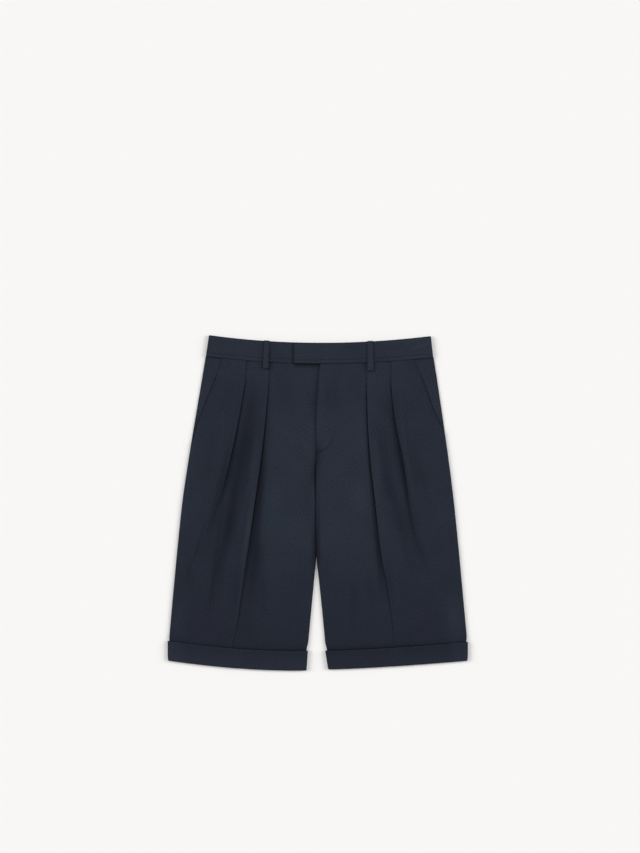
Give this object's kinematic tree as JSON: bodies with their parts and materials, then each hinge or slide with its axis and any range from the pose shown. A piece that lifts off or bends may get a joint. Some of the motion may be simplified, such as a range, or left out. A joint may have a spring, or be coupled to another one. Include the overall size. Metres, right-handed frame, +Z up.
{
  "type": "bermuda shorts",
  "caption": "Tailored pleated bermuda shorts with turn-ups, slant pockets and a lapping waistband tab, laid flat with the front up.",
  "frame": {"origin": "middle of the laid-out shorts' box, on the surface they lie on", "axes": "+X across the front to the viewer's right, +Y from the hems to the waist, +Z up out of the front"},
  "size_m": [0.5463, 0.6098, 0.0098],
  "materials": {
    "suiting": "matt navy suiting in a fine twill",
    "waistband": "matt navy suiting, two layers with an interlining"
  },
  "bodies": {
    "root": {"back_panel_left": "suiting", "pocket_facing_left": "suiting", "front_panel_left": "suiting", "turn_up_left": "suiting", "waistband_left": "waistband", "belt_loop_left": "waistband", "back_panel_right": "suiting", "pocket_facing_right": "suiting", "front_panel_right": "suiting", "turn_up_right": "suiting", "waistband_right": "waistband", "belt_loop_right": "waistband"}
  },
  "joints": []
}
